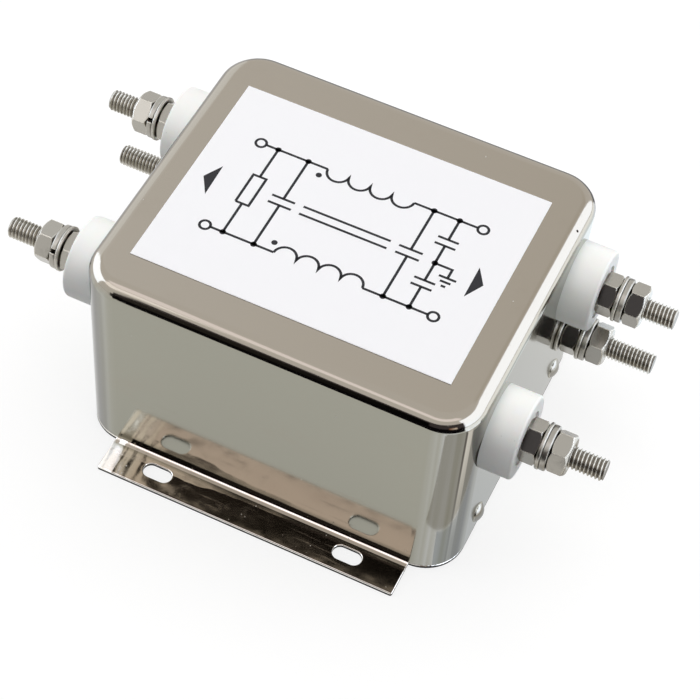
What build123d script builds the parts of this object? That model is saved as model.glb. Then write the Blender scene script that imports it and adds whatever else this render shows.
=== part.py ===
from build123d import *
import os
from math import degrees

os.makedirs("parts", exist_ok=True)

# Single-phase line filter in a drawn steel can. Millimetres, +Z up.
# The origin is under the middle of the base plate, the load end faces +X and the line end -X.

# Can and base plate
case_length = 105.5
case_width = 90.2
case_height = 62.5
case_wall = 0.8
case_corner_radius = 11.0
case_top_radius = 4.0
case_rim_chamfer = 0.2
plate_thickness = 1.0
plate_edge_radius = 0.25
flange_corner_radius = 0.6
slot_spacing_along = 54.6
slot_from_wall = 5.1
slot_to_flange_end = 14.9
slot_to_flange_edge = 5.45
slot_length = 8.0
slot_width = 4.3

# Label on the lid, a little off the middle
label_length = 85.6
label_width = 64.2
label_thickness = 0.2
label_shift = -0.65

# Terminals: how far in from the long sides, how far up the can as a share of its height,
# and how far the studs stand out of the end walls
terminal_inset = 19.4
terminal_height_ratio = 0.7072
back_terminal_reach = 28.3
front_terminal_reach = 29.1
ground_inset = 19.0
ground_height_ratio = 0.3744
ground_reach = 25.8

# Moulded bushing outside the wall and insulating ring inside it
bushing_diameter = 22.0
bushing_projection = 8.5
bushing_rim_radius = 0.8
recess_diameter = 14.4
recess_depth = 0.6
spigot_diameter = 12.0
insulator_lap = 1.5
insulator_thickness = 3.0

# M6 hardware
stud_diameter = 5.8
stud_tip_chamfer = 0.45
nut_across_flats = 10.0
nut_height = 4.8
nut_face_diameter = 9.5
nut_edge_rise = 0.75
nut_bore_chamfer = 0.4
head_height = 4.0
washer_diameter = 12.2
washer_thickness = 1.0
washer_edge_chamfer = 0.2
spring_washer_diameter = 11.8
spring_washer_thickness = 1.6
spring_washer_edge_radius = 0.4
spring_washer_slit = 1.2
spring_washer_slit_angle = 35.0

# Angle of one corner of each nut about its stud, in degrees, as tightened
clamp_nut_turns = {"load_back": 48, "load_front": 39, "line_back": 42, "line_front": 49,
                   "load_ground": 53, "line_ground": 30}
wire_nut_turns = {"load_back": 43, "load_front": 15, "line_back": 20, "line_front": 5,
                  "load_ground": 22, "line_ground": 12}

# Brackets that carry the can on the plate, and the rivets through them
bracket_height = 11.0
bracket_foot = 7.0
bracket_thickness = 1.0
bracket_bend_radius = 0.6
bracket_corner_gap = 2.1
rivet_edge = 6.0
rivet_z = 6.0
rivet_head_diameter = 6.0
rivet_head_height = 1.5
rivet_shank_diameter = 3.2
rivet_tail_diameter = 4.8
rivet_tail_height = 0.9

# Circuit board on its standoffs
board_end_gap = 2.5
board_side_gap = 8.3
board_thickness = 1.6
standoff_height = 6.0
standoff_across_flats = 5.5
standoff_end_margin = 7.0
standoff_side_margin = 5.0
screw_diameter = 2.9
screw_head_diameter = 5.5
screw_head_height = 2.0
screw_length = 5.0

# Copper links from the studs to the board
link_width = 7.0
link_ring_diameter = 12.0
link_thickness = 1.0
link_arm = 12.7
link_foot = 5.0
link_bend_radius = 1.0

# Common-mode choke, its axis upright
core_outer_diameter = 40.0
core_inner_diameter = 24.0
core_height = 15.0
core_edge_chamfer = 1.0
wire_size = 2.0
turn_corner_radius = 2.6
turn_overlap = 0.1
winding_angle = 150.0
divider_thickness = 1.5

# Capacitors, bleed resistor and their wire legs
x_cap_link_gap = 1.0
x_cap_length = 26.0
x_cap_thickness = 10.0
x_cap_height = 20.0
x_cap_edge_radius = 0.8
x_cap_leg_spacing = 22.5
y_cap_x = 15.0
small_piece_margin = 6.0
y_cap_diameter = 9.0
y_cap_thickness = 4.0
y_cap_lift = 1.0
y_cap_leg_spacing = 5.0
resistor_x = -18.0
resistor_length = 9.0
resistor_diameter = 3.5
resistor_leg_spacing = 15.0
leg_diameter = 0.8
leg_below_board = 1.5

# Clearances
thread_clearance = 0.1
stud_clearance = 0.3
spigot_clearance = 0.2
rivet_clearance = 0.05
leg_clearance = 0.2
coil_clearance = 0.15

# Places on the can and the plate
end_x = case_length / 2
inner_x = end_x - case_wall
side_y = case_width / 2
inner_y = side_y - case_wall
slot_spacing_across = case_width + 2 * slot_from_wall
flange_length = slot_spacing_along + 2 * slot_to_flange_end
flange_span = slot_spacing_across + 2 * slot_to_flange_edge
terminal_y = side_y - terminal_inset
terminal_z = case_height * terminal_height_ratio
ground_y = side_y - ground_inset
ground_z = case_height * ground_height_ratio
bracket_width = case_width - 2 * (case_corner_radius + bracket_corner_gap)
rivet_y = bracket_width / 2 - rivet_edge

# Places inside the can
board_half_length = inner_x - bracket_thickness - rivet_tail_height - board_end_gap
board_half_width = inner_y - board_side_gap
standoff_x = board_half_length - standoff_end_margin
standoff_y = board_half_width - standoff_side_margin
board_bottom = plate_thickness + standoff_height
board_top = board_bottom + board_thickness
leg_length = board_thickness + leg_below_board
clamp_seat = bushing_projection - recess_depth
head_seat = case_wall + insulator_thickness + link_thickness
link_face_x = inner_x - insulator_thickness
link_drop_y = terminal_y - link_arm
x_cap_x = link_face_x - link_foot - x_cap_link_gap - x_cap_thickness / 2
y_cap_y = board_half_width - small_piece_margin
resistor_y = board_half_width - small_piece_margin

# Radii of holes and of what laps round them
stud_bore_radius = stud_diameter / 2 + stud_clearance
spigot_hole_radius = spigot_diameter / 2 + spigot_clearance
insulator_radius = spigot_hole_radius + insulator_lap
rivet_hole_radius = rivet_shank_diameter / 2 + rivet_clearance
screw_hole_radius = screw_diameter / 2 + thread_clearance
leg_hole_radius = leg_diameter / 2 + leg_clearance

# Ends of the can and rows of terminals, as signs along X and Y
ends = {"load": 1, "line": -1}
rows = {"back": 1, "front": -1}
terminal_reaches = {"back": back_terminal_reach, "front": front_terminal_reach}


def wall_plane(end, y, z):
    """Plane on the outer face of an end wall, facing outwards."""
    return Plane(origin=(end * end_x, y, z), x_dir=(0, end, 0), z_dir=(end, 0, 0))


def outermost_edges(piece, wall):
    """Edges of the face that lies furthest out of the wall."""
    return piece.faces().sort_by(Axis(wall.origin, wall.z_dir))[-1].edges()


def write(piece, name):
    """Label a finished piece and write it as one file."""
    piece.part.label = name
    export_step(piece.part, f"parts/{name}.step")


terminals = {f"{end}_{row}": wall_plane(ends[end], rows[row] * terminal_y, terminal_z)
             for end in ends for row in rows}
grounds = {f"{end}_ground": wall_plane(ends[end], ground_y, ground_z) for end in ends}
rivet_walls = [wall_plane(ends[end], rows[row] * rivet_y, rivet_z) for end in ends for row in rows]


# Can: drawn in one piece, open at the bottom, its rim trimmed to a small bevel,
# with round holes in both end walls
with BuildPart() as case_cover:
    with BuildSketch(Plane.XY.offset(plate_thickness)):
        RectangleRounded(case_length, case_width, case_corner_radius)
    extrude(amount=case_height - plate_thickness)
    fillet(case_cover.edges().group_by(Axis.Z)[-1], radius=case_top_radius)
    offset(amount=-case_wall, openings=case_cover.faces().sort_by(Axis.Z)[0])
    rim = case_cover.faces().sort_by(Axis.Z)[0].outer_wire().edges()
    chamfer(rim, length=case_rim_chamfer)
    with BuildSketch(Plane.YZ):
        with Locations((terminal_y, terminal_z), (-terminal_y, terminal_z)):
            Circle(spigot_hole_radius)
        with Locations((ground_y, ground_z)):
            Circle(stud_bore_radius)
        with Locations((rivet_y, rivet_z), (-rivet_y, rivet_z)):
            Circle(rivet_hole_radius)
    extrude(amount=case_length, both=True, mode=Mode.SUBTRACT)
write(case_cover, "case_cover")


# Base plate: follows the can, with a slotted flange along each long side and its upper edges rolled over
with BuildPart() as base_plate:
    with BuildSketch():
        RectangleRounded(case_length, case_width, case_corner_radius)
        RectangleRounded(flange_length, flange_span, flange_corner_radius)
        with GridLocations(slot_spacing_along, slot_spacing_across, 2, 2):
            SlotOverall(slot_length, slot_width, mode=Mode.SUBTRACT)
    extrude(amount=plate_thickness)
    fillet(base_plate.faces().sort_by(Axis.Z)[-1].edges(), radius=plate_edge_radius)
write(base_plate, "base_plate")


# Label: a plain sheet stuck on the lid
with BuildPart() as label_sheet:
    with BuildSketch(Plane.XY.offset(case_height)):
        with Locations((label_shift, label_shift)):
            Rectangle(label_length, label_width)
    extrude(amount=label_thickness)
write(label_sheet, "label")


def make_bracket(end):
    """Angle bracket: its foot lies on the plate and its upright stands against the end wall."""
    foot_z = plate_thickness + bracket_thickness / 2
    upright_x = end * (inner_x - bracket_thickness / 2)
    with BuildPart() as bracket:
        with BuildSketch(Plane.XZ):
            with BuildLine():
                FilletPolyline(
                    (end * (inner_x - bracket_foot), foot_z),
                    (upright_x, foot_z),
                    (upright_x, plate_thickness + bracket_height),
                    radius=bracket_bend_radius + bracket_thickness / 2,
                )
            trace(line_width=bracket_thickness)
        extrude(amount=bracket_width / 2, both=True)
        with BuildSketch(Plane.YZ.offset(end * inner_x)):
            with Locations((rivet_y, rivet_z), (-rivet_y, rivet_z)):
                Circle(rivet_hole_radius)
        extrude(amount=-end * bracket_thickness, mode=Mode.SUBTRACT)
    return bracket


for end_name, end_sign in ends.items():
    write(make_bracket(end_sign), f"bracket_{end_name}")


# Rivet: domed head outside the wall, shank through wall and bracket, upset tail inside
rivet_dome_radius = (rivet_head_diameter ** 2 / 4 + rivet_head_height ** 2) / (2 * rivet_head_height)
with BuildPart() as rivet:
    with BuildSketch():
        Circle(rivet_head_diameter / 2)
    extrude(amount=rivet_head_height)
    with Locations((0, 0, rivet_head_height - rivet_dome_radius)):
        Sphere(rivet_dome_radius, mode=Mode.INTERSECT)
    with BuildSketch():
        Circle(rivet_shank_diameter / 2)
    extrude(amount=-(case_wall + bracket_thickness))
    with BuildSketch(Plane.XY.offset(-(case_wall + bracket_thickness))):
        Circle(rivet_tail_diameter / 2)
    extrude(amount=-rivet_tail_height)

with BuildPart() as rivets:
    with Locations(*[wall.location for wall in rivet_walls]):
        add(rivet.part)
write(rivets, "rivets")


def make_bushing(wall):
    """White bushing: rounded rim, shallow round recess for the nut, spigot through the wall."""
    with BuildPart() as bushing:
        with BuildSketch(wall):
            Circle(bushing_diameter / 2)
        extrude(amount=bushing_projection)
        fillet(outermost_edges(bushing, wall), radius=bushing_rim_radius)
        with BuildSketch(wall):
            Circle(spigot_diameter / 2)
        extrude(amount=-case_wall)
        with BuildSketch(wall.offset(clamp_seat)):
            Circle(recess_diameter / 2)
        extrude(amount=recess_depth, mode=Mode.SUBTRACT)
        with BuildSketch(wall.offset(-case_wall)):
            Circle(stud_bore_radius)
        extrude(amount=case_wall + bushing_projection, mode=Mode.SUBTRACT)
    return bushing


def make_insulator(wall):
    """Insulating ring between the inside of the wall and the copper link."""
    with BuildPart() as insulator:
        with BuildSketch(wall.offset(-case_wall)):
            Circle(insulator_radius)
            Circle(stud_bore_radius, mode=Mode.SUBTRACT)
        extrude(amount=-insulator_thickness)
    return insulator


def make_stud(wall, seat, reach):
    """Stud with a hexagon head that bears, from inside, on what lies seat behind the wall's face."""
    with BuildPart() as stud:
        with BuildSketch(wall.offset(-seat)):
            RegularPolygon(nut_across_flats / 2, 6, major_radius=False)
        extrude(amount=-head_height)
        with BuildSketch(wall.offset(-seat)):
            Circle(stud_diameter / 2)
        extrude(amount=seat + reach)
        chamfer(outermost_edges(stud, wall), length=stud_tip_chamfer)
    return stud


def make_link(end, row):
    """Copper strip: a ring on the stud, an arm towards the middle and a folded foot on the board."""
    arm_y = row * (terminal_y + link_drop_y) / 2
    arm_length = terminal_y - link_drop_y + link_width
    strip_x = end * (link_face_x - link_thickness / 2)
    foot_z = board_top + link_thickness / 2
    with BuildPart() as link:
        with BuildSketch(Plane.YZ.offset(end * link_face_x)):
            with Locations((arm_y, terminal_z)):
                Rectangle(arm_length, link_width)
            with Locations((row * terminal_y, terminal_z)):
                Circle(link_ring_diameter / 2)
                Circle(stud_bore_radius, mode=Mode.SUBTRACT)
        extrude(amount=-end * link_thickness)
        with BuildSketch(Plane.XZ.offset(-row * link_drop_y)):
            with BuildLine():
                FilletPolyline(
                    (strip_x, terminal_z),
                    (strip_x, foot_z),
                    (strip_x - end * link_foot, foot_z),
                    radius=link_bend_radius + link_thickness / 2,
                )
            trace(line_width=link_thickness)
        extrude(amount=link_width / 2, both=True)
    return link


for end_name, end_sign in ends.items():
    for row_name, row_sign in rows.items():
        place = f"{end_name}_{row_name}"
        wall = terminals[place]
        write(make_bushing(wall), f"bushing_{place}")
        write(make_insulator(wall), f"insulator_{place}")
        write(make_stud(wall, head_seat, terminal_reaches[row_name]), f"stud_{place}")
        write(make_link(end_sign, row_sign), f"link_{place}")

for place, wall in grounds.items():
    write(make_stud(wall, case_wall, ground_reach), f"stud_{place}")


# Hexagon nut: both faces turned down to a cone at the corners, bore opened at both ends
nut_corner_radius = nut_across_flats / 3 ** 0.5
with BuildPart() as nut:
    with BuildSketch():
        RegularPolygon(nut_across_flats / 2, 6, major_radius=False)
    extrude(amount=nut_height)
    with BuildSketch(Plane.XZ):
        with BuildLine():
            Polyline(
                (0, 0),
                (nut_face_diameter / 2, 0),
                (nut_corner_radius, nut_edge_rise),
                (nut_corner_radius, nut_height - nut_edge_rise),
                (nut_face_diameter / 2, nut_height),
                (0, nut_height),
                close=True,
            )
        make_face()
    revolve(axis=Axis.Z, mode=Mode.INTERSECT)
    with BuildSketch():
        Circle(stud_diameter / 2 + thread_clearance)
    extrude(amount=nut_height, mode=Mode.SUBTRACT)
    chamfer(nut.edges().filter_by(GeomType.CIRCLE).group_by(SortBy.RADIUS)[0], length=nut_bore_chamfer)

# Flat washer
with BuildPart() as washer:
    with BuildSketch():
        Circle(washer_diameter / 2)
        Circle(stud_bore_radius, mode=Mode.SUBTRACT)
    extrude(amount=washer_thickness)
    rim = washer.edges().filter_by(GeomType.CIRCLE).group_by(SortBy.RADIUS)[-1]
    chamfer(rim, length=washer_edge_chamfer)

# Spring washer, pressed flat, with its slit and rounded outer edges
with BuildPart() as spring_washer:
    with BuildSketch():
        Circle(spring_washer_diameter / 2)
        Circle(stud_bore_radius, mode=Mode.SUBTRACT)
        with Locations((spring_washer_diameter / 2, 0)):
            Rectangle(spring_washer_diameter, spring_washer_slit, mode=Mode.SUBTRACT)
    extrude(amount=spring_washer_thickness)
    rim = spring_washer.edges().filter_by(GeomType.CIRCLE).group_by(SortBy.RADIUS)[-1]
    fillet(rim, radius=spring_washer_edge_radius)

# Stack on each stud, counted outwards from the wall: clamp nut, flat washer, spring washer, wire nut
stud_walls = {**terminals, **grounds}
stack_starts = {**{place: clamp_seat for place in terminals},
                **{place: washer_thickness for place in grounds}}


def stack_locations(height, turns=None, turn=0.0):
    """Place on every stud at this height above the start of its stack."""
    places = []
    for place, wall in stud_walls.items():
        angle = turns[place] if turns else turn
        level = wall.offset(stack_starts[place] + height)
        places.append(level.location * Rot(0, 0, angle))
    return places


with BuildPart() as clamp_nuts:
    with Locations(*stack_locations(0, clamp_nut_turns)):
        add(nut.part)
write(clamp_nuts, "clamp_nuts")

with BuildPart() as flat_washers:
    with Locations(*stack_locations(nut_height)):
        add(washer.part)
    with Locations(*[wall.location for wall in grounds.values()]):
        add(washer.part)
write(flat_washers, "flat_washers")

with BuildPart() as spring_washers:
    with Locations(*stack_locations(nut_height + washer_thickness, turn=spring_washer_slit_angle)):
        add(spring_washer.part)
write(spring_washers, "spring_washers")

with BuildPart() as wire_nuts:
    with Locations(*stack_locations(nut_height + washer_thickness + spring_washer_thickness,
                                    wire_nut_turns)):
        add(nut.part)
write(wire_nuts, "wire_nuts")


# Choke: ring core with two close-wound windings, kept apart by a divider in the bore
core_bottom = board_top + wire_size + coil_clearance
core_mean_radius = (core_outer_diameter + core_inner_diameter) / 4
core_section = (core_outer_diameter - core_inner_diameter) / 2
core_middle_z = core_bottom + core_height / 2
coil_top = core_bottom + core_height + coil_clearance + wire_size
turn_inner_width = core_section + 2 * coil_clearance
turn_inner_height = core_height + 2 * coil_clearance
bore_turn_radius = core_inner_diameter / 2 - coil_clearance - wire_size / 2
turn_pitch = degrees((wire_size - turn_overlap) / bore_turn_radius)
turn_count = int(winding_angle / turn_pitch)
winding_span = (turn_count - 1) * turn_pitch
coil_leg_radius = core_outer_diameter / 2 + coil_clearance + wire_size / 2
coil_leg_angles = [side + half * winding_span / 2 for side in (90, 270) for half in (-1, 1)]
coil_hole_radius = wire_size / 2 ** 0.5 + leg_clearance

with BuildPart() as choke_core:
    with BuildSketch(Plane.XY.offset(core_bottom)):
        Circle(core_outer_diameter / 2)
        Circle(core_inner_diameter / 2, mode=Mode.SUBTRACT)
    extrude(amount=core_height)
    chamfer(choke_core.edges().filter_by(GeomType.CIRCLE), length=core_edge_chamfer)
write(choke_core, "choke_core")

# One turn: a rounded frame about the core's section, standing on the +X side
with BuildPart() as turn_frame:
    with BuildSketch(Plane.XZ):
        with Locations((core_mean_radius, core_middle_z)):
            RectangleRounded(turn_inner_width + 2 * wire_size, turn_inner_height + 2 * wire_size,
                             turn_corner_radius)
            Rectangle(turn_inner_width, turn_inner_height, mode=Mode.SUBTRACT)
    extrude(amount=wire_size / 2, both=True)


def make_winding(side):
    """Close-wound coil about one side of the core, with its two ends going down through the board."""
    first = side - winding_span / 2
    with BuildPart() as winding:
        with PolarLocations(0, turn_count, start_angle=first, angular_range=winding_span, endpoint=True):
            add(turn_frame.part)
        with BuildSketch(Plane.XY.offset(core_middle_z)):
            with PolarLocations(coil_leg_radius, 2, start_angle=first, angular_range=winding_span,
                                endpoint=True):
                Rectangle(wire_size, wire_size)
        extrude(amount=board_bottom - leg_below_board - core_middle_z)
    return winding


write(make_winding(90), "winding_back")
write(make_winding(270), "winding_front")

with BuildPart() as choke_divider:
    with BuildSketch(Plane.XY.offset(board_top)):
        Rectangle(core_inner_diameter - 2 * stud_clearance, divider_thickness)
    extrude(amount=coil_top - board_top)
write(choke_divider, "choke_divider")


def make_x_capacitor(end):
    """Box capacitor across the line, standing on the board with two legs through it."""
    with BuildPart() as capacitor:
        with BuildSketch(Plane.XY.offset(board_top)):
            with Locations((end * x_cap_x, 0)):
                Rectangle(x_cap_thickness, x_cap_length)
        extrude(amount=x_cap_height)
        fillet(capacitor.edges().group_by(Axis.Z)[-1], radius=x_cap_edge_radius)
        with BuildSketch(Plane.XY.offset(board_top)):
            with Locations((end * x_cap_x, 0)):
                with GridLocations(0, x_cap_leg_spacing, 1, 2):
                    Circle(leg_diameter / 2)
        extrude(amount=-leg_length)
    return capacitor


def make_y_capacitor(row):
    """Disc capacitor to the can, standing on its two legs."""
    disc_z = board_top + y_cap_lift + y_cap_diameter / 2
    with BuildPart() as capacitor:
        with BuildSketch(Plane.XZ.offset(-row * y_cap_y)):
            with Locations((y_cap_x, disc_z)):
                Circle(y_cap_diameter / 2)
        extrude(amount=y_cap_thickness / 2, both=True)
        with BuildSketch(Plane.XY.offset(disc_z)):
            with Locations((y_cap_x, row * y_cap_y)):
                with GridLocations(y_cap_leg_spacing, 0, 2, 1):
                    Circle(leg_diameter / 2)
        extrude(amount=board_bottom - leg_below_board - disc_z)
    return capacitor


for end_name, end_sign in ends.items():
    write(make_x_capacitor(end_sign), f"x_capacitor_{end_name}")
for row_name, row_sign in rows.items():
    write(make_y_capacitor(row_sign), f"y_capacitor_{row_name}")


# Bleed resistor: a small barrel on a wire bent down into the board at both ends
resistor_z = board_top + resistor_diameter / 2
resistor_leg_foot = board_bottom - leg_below_board
with BuildPart() as bleed_resistor:
    with BuildSketch(Plane.YZ.offset(resistor_x - resistor_length / 2)):
        with Locations((resistor_y, resistor_z)):
            Circle(resistor_diameter / 2)
    extrude(amount=resistor_length)
    with BuildLine() as resistor_wire:
        FilletPolyline(
            (resistor_x - resistor_leg_spacing / 2, resistor_y, resistor_leg_foot),
            (resistor_x - resistor_leg_spacing / 2, resistor_y, resistor_z),
            (resistor_x + resistor_leg_spacing / 2, resistor_y, resistor_z),
            (resistor_x + resistor_leg_spacing / 2, resistor_y, resistor_leg_foot),
            radius=leg_diameter,
        )
    with BuildSketch(Plane(origin=resistor_wire.line @ 0, z_dir=resistor_wire.line % 0)):
        Circle(leg_diameter / 2)
    sweep(path=resistor_wire.line)
write(bleed_resistor, "bleed_resistor")


# Board: holes for its screws, the coil ends and the legs of the small pieces
with BuildPart() as board:
    with BuildSketch(Plane.XY.offset(board_bottom)):
        Rectangle(2 * board_half_length, 2 * board_half_width)
        with GridLocations(2 * standoff_x, 2 * standoff_y, 2, 2):
            Circle(screw_hole_radius, mode=Mode.SUBTRACT)
        for angle in coil_leg_angles:
            with PolarLocations(coil_leg_radius, 1, start_angle=angle):
                Circle(coil_hole_radius, mode=Mode.SUBTRACT)
        with GridLocations(2 * x_cap_x, x_cap_leg_spacing, 2, 2):
            Circle(leg_hole_radius, mode=Mode.SUBTRACT)
        with Locations((y_cap_x, y_cap_y), (y_cap_x, -y_cap_y)):
            with GridLocations(y_cap_leg_spacing, 0, 2, 1):
                Circle(leg_hole_radius, mode=Mode.SUBTRACT)
        with Locations((resistor_x, resistor_y)):
            with GridLocations(resistor_leg_spacing, 0, 2, 1):
                Circle(leg_hole_radius, mode=Mode.SUBTRACT)
    extrude(amount=board_thickness)
write(board, "board")


# Standoffs on the plate, tapped from above
with BuildPart() as standoffs:
    with BuildSketch(Plane.XY.offset(plate_thickness)):
        with GridLocations(2 * standoff_x, 2 * standoff_y, 2, 2):
            RegularPolygon(standoff_across_flats / 2, 6, major_radius=False)
            Circle(screw_hole_radius, mode=Mode.SUBTRACT)
    extrude(amount=standoff_height)
write(standoffs, "standoffs")

# Screws that hold the board down
with BuildPart() as board_screws:
    with BuildSketch(Plane.XY.offset(board_top)):
        with GridLocations(2 * standoff_x, 2 * standoff_y, 2, 2):
            Circle(screw_head_diameter / 2)
    extrude(amount=screw_head_height)
    with BuildSketch(Plane.XY.offset(board_top)):
        with GridLocations(2 * standoff_x, 2 * standoff_y, 2, 2):
            Circle(screw_diameter / 2)
    extrude(amount=-screw_length)
write(board_screws, "board_screws")
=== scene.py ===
import math
from functools import partial

import bmesh
import bpy
from bpy.props import FloatProperty, FloatVectorProperty, IntProperty, PointerProperty
from mathutils import Euler, Matrix, Vector


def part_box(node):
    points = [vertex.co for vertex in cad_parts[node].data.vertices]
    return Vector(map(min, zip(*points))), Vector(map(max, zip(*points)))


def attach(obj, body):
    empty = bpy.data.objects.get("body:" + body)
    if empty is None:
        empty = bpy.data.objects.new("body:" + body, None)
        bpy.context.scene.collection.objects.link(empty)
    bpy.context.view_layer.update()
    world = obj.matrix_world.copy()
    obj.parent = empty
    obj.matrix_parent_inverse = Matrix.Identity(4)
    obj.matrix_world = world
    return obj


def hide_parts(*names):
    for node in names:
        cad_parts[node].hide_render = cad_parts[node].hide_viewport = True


bl_info = {
    "name": "Line filter",
    "version": (1, 0, 0),
    "blender": (4, 5, 0),
    "location": "3D View > Sidebar > Line filter",
    "description": "Finishes the line filter and sets it on a pale studio floor",
    "category": "Object",
}

# The frame is loaded first: sizes that a piece shares with it are read from its boxes
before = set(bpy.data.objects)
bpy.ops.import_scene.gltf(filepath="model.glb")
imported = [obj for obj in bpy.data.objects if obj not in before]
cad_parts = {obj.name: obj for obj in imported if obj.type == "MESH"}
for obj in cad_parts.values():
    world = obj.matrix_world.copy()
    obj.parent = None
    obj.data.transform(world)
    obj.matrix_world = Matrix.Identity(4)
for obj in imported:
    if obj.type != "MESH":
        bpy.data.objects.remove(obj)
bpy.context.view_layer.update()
MM = 0.001
ENDS = ("line", "load")
ROWS = ("back", "front")
PLACES = [f"{end}_{row}" for end in ENDS for row in ROWS]
STUDS = [f"stud_{place}" for place in PLACES] + [f"stud_{end}_ground" for end in ENDS]


# ---- Sizes and colours that a user would change

ColorProperty = partial(FloatVectorProperty, subtype="COLOR", size=3, min=0.0, max=1.0)
LengthProperty = partial(FloatProperty, unit="LENGTH", min=0.0)
ShareProperty = partial(FloatProperty, subtype="FACTOR", min=0.0, max=1.0)


class CanSettings(bpy.types.PropertyGroup):
    """Drawn can and base plate."""
    nickel_color: ColorProperty(
        name="Nickel colour", description="Colour of a white surface seen in the polished nickel",
        default=(0.385, 0.345, 0.288))
    # Painted shade: the upright walls get this darker, cooler colour than the lid, for the darker surroundings that
    # they mirror
    wall_shade_color: ColorProperty(
        name="Wall colour", description="The same for the drawn walls, where the nickel is a little cooler",
        default=(0.32, 0.314, 0.26))
    # Painted reflection: the upright corners get this brighter colour in vertical streaks
    corner_highlight_color: ColorProperty(
        name="Corner colour", description="The same for the upright corners, polished by the drawing tool",
        default=(0.43, 0.43, 0.405))
    plate_color: ColorProperty(
        name="Plate colour", description="The same for the base plate, where the nickel is brighter and warmer",
        default=(0.63, 0.515, 0.435))
    # Painted highlight colour for the can's corner line and the plate's bend, outer rim and line end; on the plate's
    # side faces it is partly a real burnished band and partly painted highlight
    burnish_and_highlight_color: ColorProperty(
        name="Polished colour", description="The same along the bend line and the rolled edges of the plate",
        default=(0.94, 0.91, 0.85))
    # Also the colour of the painted shade beside the bend on the flanges
    stain_and_shade_color: ColorProperty(
        name="Stain colour", description="Colour of the nickel where it is faintly stained",
        default=(0.33, 0.285, 0.23))
    can_roughness: ShareProperty(name="Can roughness", description="Roughness of the polished can", default=0.10)
    plate_roughness: ShareProperty(name="Plate roughness", description="Roughness of the base plate", default=0.05)
    can_wave: LengthProperty(
        name="Can waves", description="Height of the slow waves in the can's walls", default=0.00002)
    plate_wave: LengthProperty(name="Plate waves", description="Height of the waves in the flanges", default=0.00004)
    ripple: LengthProperty(
        name="End ripples", description="Height of the ripples across the flanges' line ends", default=0.00007)
    flange_slope: ShareProperty(
        name="Flange slope", description="How steeply the flanges seem to climb away from the can",
        max=0.3, default=0.062)
    end_roll: ShareProperty(
        name="End roll", description="How steeply the flanges roll off at their line end", default=0.28)
    bend_slope: ShareProperty(
        name="Bend slope", description="How steep the narrow bend beside the can is", default=0.46)
    pit_place: FloatVectorProperty(
        name="Pit", description="Place of the small pit in the plating on the lid's edge",
        subtype="XYZ", unit="LENGTH", size=3, default=(0.0511, 0.0265, 0.0617))
    pit_radius: LengthProperty(name="Pit radius", description="Size of the small pit in the plating", default=0.00045)


class LabelSettings(bpy.types.PropertyGroup):
    """Film on the lid and what is printed on it."""
    film_color: ColorProperty(name="Film colour", description="Colour of the white film", default=(0.885, 0.885, 0.915))
    ink_color: ColorProperty(name="Ink colour", description="Colour of the print", default=(0.012, 0.011, 0.014))
    line_width: LengthProperty(name="Line width", description="Width of the printed lines", min=0.0002, default=0.0007)
    print_lift: LengthProperty(name="Print lift", description="Height of the print above the film", default=0.000012)


class HardwareSettings(bpy.types.PropertyGroup):
    """Studs, nuts, washers and rivets."""
    steel_color: ColorProperty(
        name="Steel colour", description="Reflection colour of the stainless steel", default=(0.382, 0.362, 0.320))
    # Painted shade: the studs' end faces and chamfers get this darker colour
    tip_shade_color: ColorProperty(
        name="Tip colour", description="The same on the turned end faces of the studs", default=(0.25, 0.235, 0.21))
    # Painted highlight: the crests of the threads get this brighter colour
    crest_highlight_color: ColorProperty(
        name="Crest colour", description="The same on the crests of the threads", default=(0.56, 0.53, 0.465))
    # Painted shade: the darker colour in the roots of the threads and between nuts, washers and rivets
    gap_shade_color: ColorProperty(
        name="Grime colour", description="Colour of what has settled in the grooves of the threads",
        default=(0.14, 0.115, 0.09))
    steel_roughness: ShareProperty(name="Steel roughness", description="Roughness of nuts and washers", default=0.22)
    thread_pitch: LengthProperty(
        name="Thread pitch", description="Distance from one crest of the thread to the next", min=0.0004, default=0.001)
    thread_depth: LengthProperty(
        name="Thread depth", description="Depth of the thread from crest to root", default=0.00058)
    stud_radius: LengthProperty(
        name="Stud radius", description="Radius of the studs over the crests", min=0.001, default=0.0029)
    head_height: LengthProperty(
        name="Head height", description="Height of the hexagon head inside the can", min=0.001, default=0.004)
    tip_chamfer: LengthProperty(name="Tip chamfer", description="Chamfer at the free end of each stud", default=0.00045)
    around: IntProperty(
        name="Steps around", description="Steps around each stud",
        min=12, max=96, default=36)
    steps_per_turn: IntProperty(
        name="Steps per pitch", description="Steps along each turn of the thread",
        min=4, max=24, default=10)


class BushingSettings(bpy.types.PropertyGroup):
    """Moulded bushings."""
    nylon_color: ColorProperty(
        name="Nylon colour", description="Colour of the white nylon", default=(0.93, 0.932, 0.918))
    nylon_roughness: ShareProperty(name="Nylon roughness", description="Roughness of the moulded faces", default=0.42)


class InsideSettings(bpy.types.PropertyGroup):
    """Pieces inside the closed can."""
    board_color: ColorProperty(
        name="Board colour", description="Colour of the board's laminate", default=(0.03, 0.13, 0.05))
    copper_color: ColorProperty(
        name="Copper colour", description="Colour of the bare copper links", default=(0.72, 0.33, 0.19))
    brass_color: ColorProperty(name="Brass colour", description="Colour of the standoffs", default=(0.60, 0.43, 0.14))
    enamel_color: ColorProperty(
        name="Enamel colour", description="Colour of the enamelled wire", default=(0.36, 0.09, 0.03))
    ferrite_color: ColorProperty(
        name="Ferrite colour", description="Colour of the coated core", default=(0.02, 0.02, 0.023))
    box_color: ColorProperty(name="Box colour", description="Colour of the box capacitors", default=(0.68, 0.47, 0.04))
    disc_color: ColorProperty(
        name="Disc colour", description="Colour of the disc capacitors", default=(0.03, 0.15, 0.45))
    barrel_color: ColorProperty(
        name="Barrel colour", description="Colour of the resistor's barrel", default=(0.48, 0.34, 0.17))


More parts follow.
